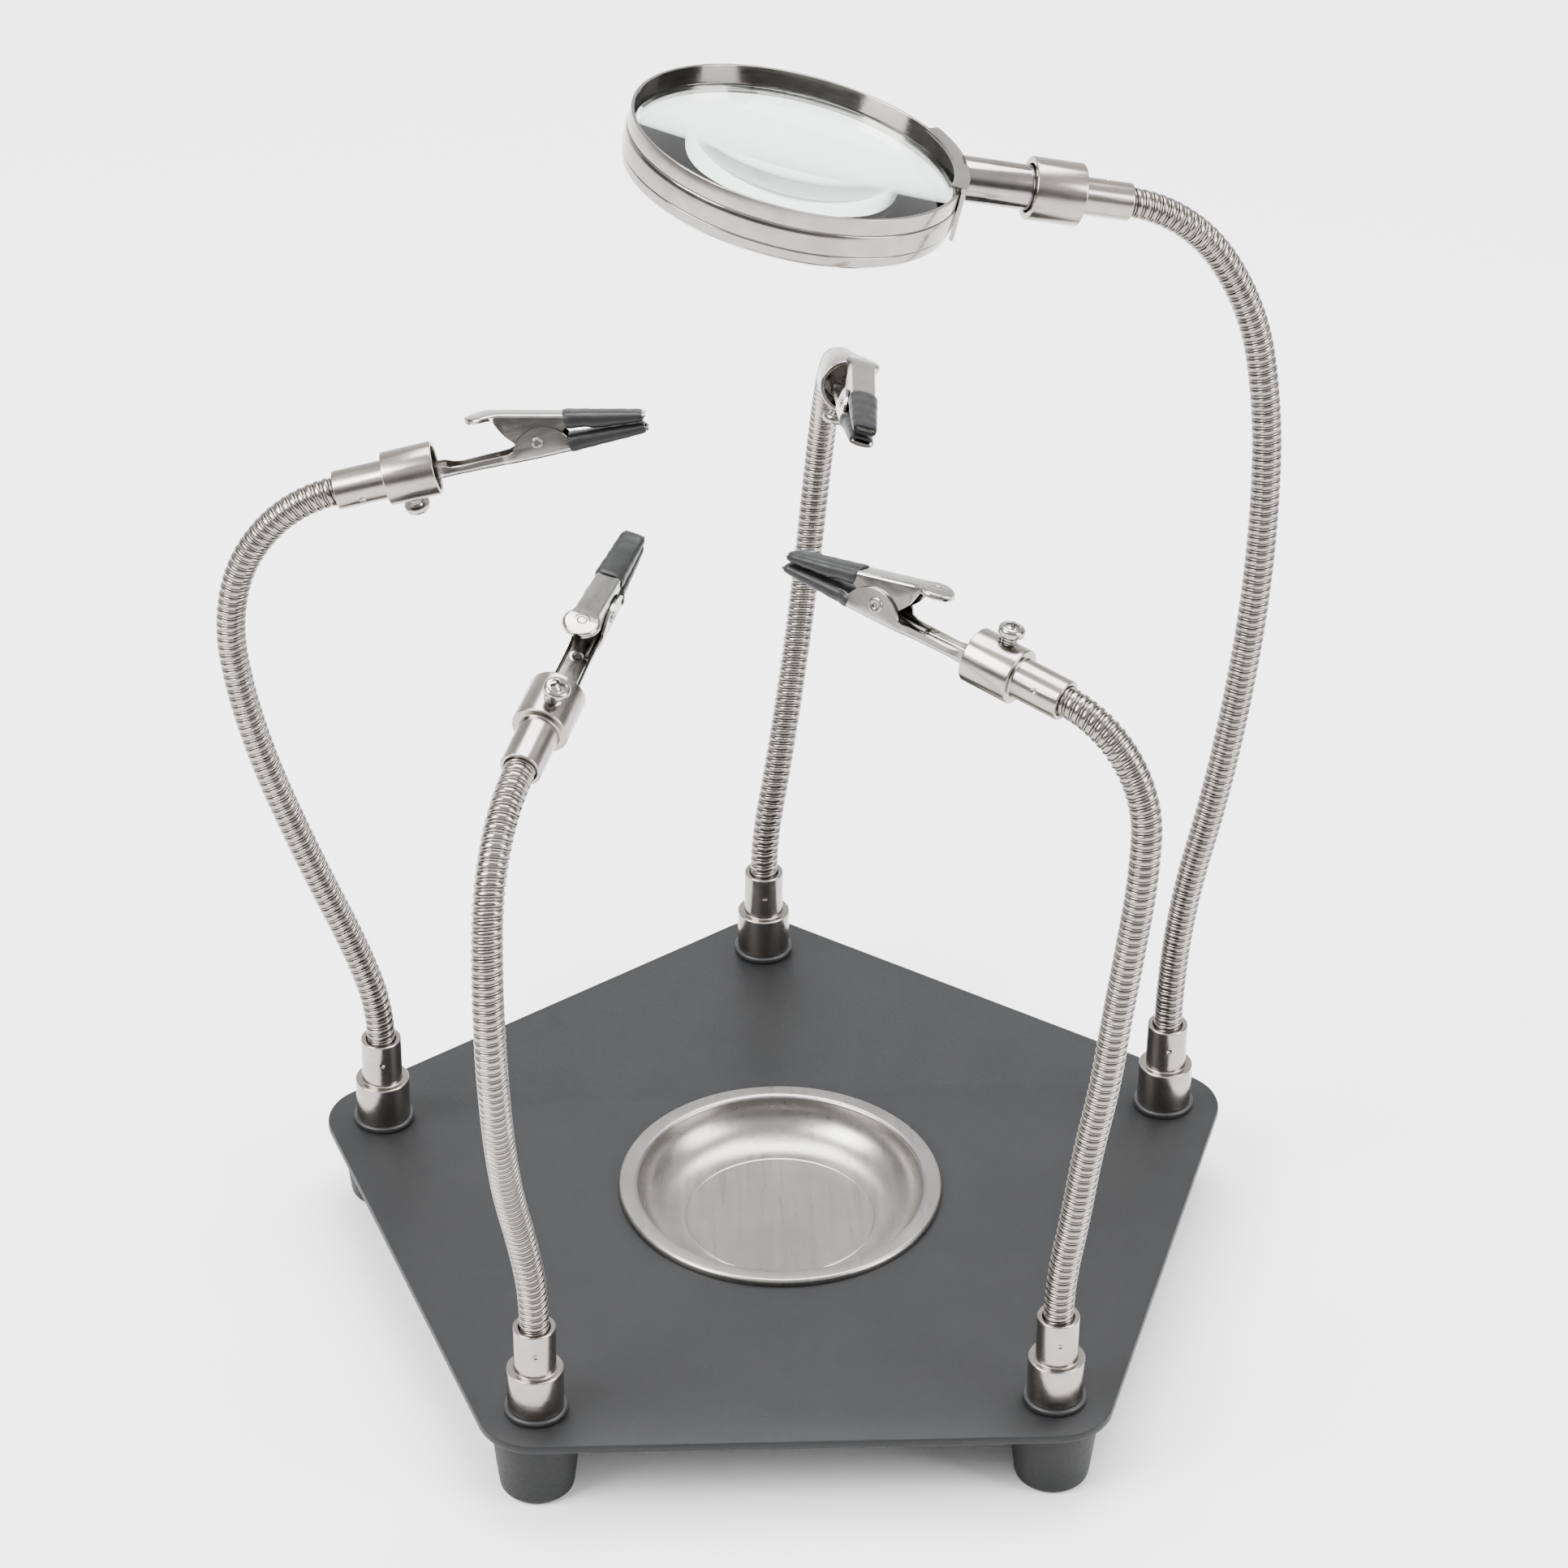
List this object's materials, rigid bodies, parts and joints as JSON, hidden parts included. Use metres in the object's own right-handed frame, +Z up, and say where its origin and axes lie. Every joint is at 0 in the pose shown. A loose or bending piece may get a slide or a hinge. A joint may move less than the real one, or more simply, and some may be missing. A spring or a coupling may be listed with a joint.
{
  "type": "helping hands clamp",
  "caption": "Five-cornered steel bench stand on five feet: four bendable necks with sleeved crocodile clips, one with a round magnifier, and a lift-out parts tray.",
  "frame": {"origin": "on the ground under the middle of the plate", "axes": "+Z up; -Y the front edge, with a neck at each end of it; +Y the corner with the back neck; +X the magnifier's side"},
  "size_m": [0.2064, 0.2056, 0.2502],
  "materials": {
    "plate_coat": "matte dark grey coat on steel",
    "foot_rubber": "matte dark grey rubber",
    "screw_steel": "zinc plated steel",
    "gasket_rubber": "matte black rubber",
    "nickel": "satin nickel plate, slightly warm",
    "neck_steel": "bright plated wound wire",
    "tray_steel": "brushed stainless sheet",
    "clip_steel": "bright nickel-plated sheet",
    "spring_steel": "plain spring wire",
    "sleeve_rubber": "satin black shrink tube",
    "ring_metal": "polished plated band",
    "lens_glass": "clear polished glass, faint green"
  },
  "bodies": {
    "base": {"base_plate": "plate_coat", "feet": "foot_rubber", "foot_screws": "screw_steel", "collar_gaskets": "gasket_rubber", "base_collars": "nickel"},
    "tray": {"tray": "tray_steel"},
    "back_low": {"back_neck_lower": "neck_steel"},
    "back_mid": {"back_neck_middle": "neck_steel"},
    "back_end": {"back_neck_upper": "neck_steel", "back_top_collar": "nickel"},
    "back_clamp": {"back_clamp_screw": "screw_steel"},
    "back_clip": {"back_lower_jaw": "clip_steel", "back_lower_sleeve": "sleeve_rubber", "back_jaw_rivet": "clip_steel", "back_jaw_spring": "spring_steel"},
    "back_jaw": {"back_upper_jaw": "clip_steel", "back_upper_sleeve": "sleeve_rubber"},
    "left_low": {"left_neck_lower": "neck_steel"},
    "left_mid": {"left_neck_middle": "neck_steel"},
    "left_end": {"left_neck_upper": "neck_steel", "left_top_collar": "nickel"},
    "left_clamp": {"left_clamp_screw": "screw_steel"},
    "left_clip": {"left_lower_jaw": "clip_steel", "left_lower_sleeve": "sleeve_rubber", "left_jaw_rivet": "clip_steel", "left_jaw_spring": "spring_steel"},
    "left_jaw": {"left_upper_jaw": "clip_steel", "left_upper_sleeve": "sleeve_rubber"},
    "front_left_low": {"front_left_neck_lower": "neck_steel"},
    "front_left_mid": {"front_left_neck_middle": "neck_steel"},
    "front_left_end": {"front_left_neck_upper": "neck_steel", "front_left_top_collar": "nickel"},
    "front_left_clamp": {"front_left_clamp_screw": "screw_steel"},
    "front_left_clip": {"front_left_lower_jaw": "clip_steel", "front_left_lower_sleeve": "sleeve_rubber", "front_left_jaw_rivet": "clip_steel", "front_left_jaw_spring": "spring_steel"},
    "front_left_jaw": {"front_left_upper_jaw": "clip_steel", "front_left_upper_sleeve": "sleeve_rubber"},
    "front_right_low": {"front_right_neck_lower": "neck_steel"},
    "front_right_mid": {"front_right_neck_middle": "neck_steel"},
    "front_right_end": {"front_right_neck_upper": "neck_steel", "front_right_top_collar": "nickel"},
    "front_right_clamp": {"front_right_clamp_screw": "screw_steel"},
    "front_right_clip": {"front_right_lower_jaw": "clip_steel", "front_right_lower_sleeve": "sleeve_rubber", "front_right_jaw_rivet": "clip_steel", "front_right_jaw_spring": "spring_steel"},
    "front_right_jaw": {"front_right_upper_jaw": "clip_steel", "front_right_upper_sleeve": "sleeve_rubber"},
    "magnifier_low": {"magnifier_neck_lower": "neck_steel"},
    "magnifier_mid": {"magnifier_neck_middle": "neck_steel"},
    "magnifier_end": {"magnifier_neck_upper": "neck_steel", "magnifier_top_collar": "nickel"},
    "magnifier_clamp": {"magnifier_clamp_screw": "screw_steel"},
    "magnifier_glass": {"magnifier_handle_tube": "ring_metal", "magnifier_yoke": "ring_metal", "magnifier_lens_ring": "ring_metal", "magnifier_lens": "lens_glass"}
  },
  "joints": [
    {"name": "tray_lift", "type": "slide", "parent": "base", "child": "tray", "axis": [0, 0, 1], "range_m": [0, 0.02]},
    {"name": "back_turn", "type": "hinge", "parent": "base", "child": "back_low", "pos_m": [0, 0.085, 0.0388], "axis": [0, 0, 1], "range_deg": [-20, 20]},
    {"name": "back_bend_low", "type": "hinge", "parent": "back_low", "child": "back_mid", "pos_m": [0.00635, 0.09564, 0.08376], "axis": [0.9868, -0.1167, -0.1122], "range_deg": [-22, 10]},
    {"name": "back_bend_high", "type": "hinge", "parent": "back_mid", "child": "back_end", "pos_m": [0.01179, 0.10676, 0.12864], "axis": [0.9941, -0.0649, -0.087], "range_deg": [-25, 12]},
    {"name": "back_clamp_out", "type": "slide", "parent": "back_end", "child": "back_clamp", "axis": [-0.2532, -0.2706, -0.9288], "range_m": [0, 0.003]},
    {"name": "back_clip_roll", "type": "hinge", "parent": "back_end", "child": "back_clip", "pos_m": [0.01453, 0.0613, 0.16937], "axis": [0.0201, -0.9614, 0.2746], "range_deg": [-90, 90]},
    {"name": "back_jaw_open", "type": "hinge", "parent": "back_clip", "child": "back_jaw", "pos_m": [0.0152, 0.04192, 0.1758], "axis": [-0.9578, 0.0602, 0.2811], "range_deg": [0, 28], "stiffness_Nm_per_rad": 0.08, "springref_deg": -28.65, "deforming": ["back_jaw_spring"]},
    {"name": "left_turn", "type": "hinge", "parent": "base", "child": "left_low", "pos_m": [-0.08084, 0.02627, 0.0388], "axis": [0, 0, 1], "range_deg": [-20, 20]},
    {"name": "left_bend_low", "type": "hinge", "parent": "left_low", "child": "left_mid", "pos_m": [-0.0941, 0.02704, 0.08357], "axis": [0.0299, 0.999, -0.0326], "range_deg": [-22, 10]},
    {"name": "left_bend_high", "type": "hinge", "parent": "left_mid", "child": "left_end", "pos_m": [-0.10673, 0.02877, 0.12868], "axis": [0.0196, 0.9997, -0.0173], "range_deg": [-25, 12]},
    {"name": "left_clamp_out", "type": "slide", "parent": "left_end", "child": "left_clamp", "axis": [0.2395, 0.1393, -0.9609], "range_m": [0, 0.003]},
    {"name": "left_clip_roll", "type": "hinge", "parent": "left_end", "child": "left_clip", "pos_m": [-0.06611, 0.02897, 0.17078], "axis": [0.9703, 0.0005, 0.2419], "range_deg": [-90, 90]},
    {"name": "left_jaw_open", "type": "hinge", "parent": "left_clip", "child": "left_jaw", "pos_m": [-0.04653, 0.02923, 0.17655], "axis": [-0.0662, -0.9613, 0.2675], "range_deg": [0, 28], "stiffness_Nm_per_rad": 0.08, "springref_deg": -28.65, "deforming": ["left_jaw_spring"]},
    {"name": "front_left_turn", "type": "hinge", "parent": "base", "child": "front_left_low", "pos_m": [-0.04996, -0.06877, 0.0388], "axis": [0, 0, 1], "range_deg": [-20, 20]},
    {"name": "front_left_bend_low", "type": "hinge", "parent": "front_left_low", "child": "front_left_mid", "pos_m": [-0.05464, -0.08172, 0.08328], "axis": [-0.9615, 0.2708, 0.0474], "range_deg": [-22, 10]},
    {"name": "front_left_bend_high", "type": "hinge", "parent": "front_left_mid", "child": "front_left_end", "pos_m": [-0.05675, -0.09284, 0.12838], "axis": [-0.9563, 0.2904, -0.0349], "range_deg": [-25, 12]},
    {"name": "front_left_clamp_out", "type": "slide", "parent": "front_left_end", "child": "front_left_clamp", "axis": [0.2373, -0.3348, 0.9119], "range_m": [0, 0.003]},
    {"name": "front_left_clip_roll", "type": "hinge", "parent": "front_left_end", "child": "front_left_clip", "pos_m": [-0.04349, -0.04952, 0.16839], "axis": [0.3497, 0.9052, 0.2413], "range_deg": [-90, 90]},
    {"name": "front_left_jaw_open", "type": "hinge", "parent": "front_left_clip", "child": "front_left_jaw", "pos_m": [-0.03629, -0.0313, 0.17417], "axis": [0.9337, -0.3158, -0.1685], "range_deg": [0, 28], "stiffness_Nm_per_rad": 0.08, "springref_deg": -28.65, "deforming": ["front_left_jaw_spring"]},
    {"name": "front_right_turn", "type": "hinge", "parent": "base", "child": "front_right_low", "pos_m": [0.04996, -0.06877, 0.0388], "axis": [0, 0, 1], "range_deg": [-20, 20]},
    {"name": "front_right_bend_low", "type": "hinge", "parent": "front_right_low", "child": "front_right_mid", "pos_m": [0.05506, -0.07007, 0.08547], "axis": [-0.5073, -0.8602, 0.0517], "range_deg": [-22, 10]},
    {"name": "front_right_bend_high", "type": "hinge", "parent": "front_right_mid", "child": "front_right_end", "pos_m": [0.0606, -0.07037, 0.13213], "axis": [-0.5086, -0.8582, 0.0695], "range_deg": [-25, 12]},
    {"name": "front_right_clamp_out", "type": "slide", "parent": "front_right_end", "child": "front_right_clamp", "axis": [0.2142, 0.0528, 0.9754], "range_m": [0, 0.003]},
    {"name": "front_right_clip_roll", "type": "hinge", "parent": "front_right_end", "child": "front_right_clip", "pos_m": [0.03182, -0.04515, 0.17252], "axis": [-0.7797, 0.6107, 0.1381], "range_deg": [-90, 90]},
    {"name": "front_right_jaw_open", "type": "hinge", "parent": "front_right_clip", "child": "front_right_jaw", "pos_m": [0.01615, -0.03258, 0.1762], "axis": [0.5674, 0.7825, -0.2563], "range_deg": [0, 28], "stiffness_Nm_per_rad": 0.08, "springref_deg": -28.65, "deforming": ["front_right_jaw_spring"]},
    {"name": "magnifier_turn", "type": "hinge", "parent": "base", "child": "magnifier_low", "pos_m": [0.08084, 0.02627, 0.0388], "axis": [0, 0, 1], "range_deg": [-20, 20]},
    {"name": "magnifier_bend_low", "type": "hinge", "parent": "magnifier_low", "child": "magnifier_mid", "pos_m": [0.0886, 0.02407, 0.10486], "axis": [0.0126, -0.9993, -0.0346], "range_deg": [-12, 12]},
    {"name": "magnifier_bend_high", "type": "hinge", "parent": "magnifier_mid", "child": "magnifier_end", "pos_m": [0.09341, 0.0259, 0.17121], "axis": [0.0159, -0.9961, 0.0871], "range_deg": [-22, 14]},
    {"name": "magnifier_clamp_out", "type": "slide", "parent": "magnifier_end", "child": "magnifier_clamp", "axis": [-0.1435, 0.986, -0.0849], "range_m": [0, 0.003]},
    {"name": "magnifier_roll", "type": "hinge", "parent": "magnifier_end", "child": "magnifier_glass", "pos_m": [0.0455, 0.02667, 0.23011], "axis": [-0.9671, -0.1214, 0.2237], "range_deg": [-45, 45]}
  ]
}
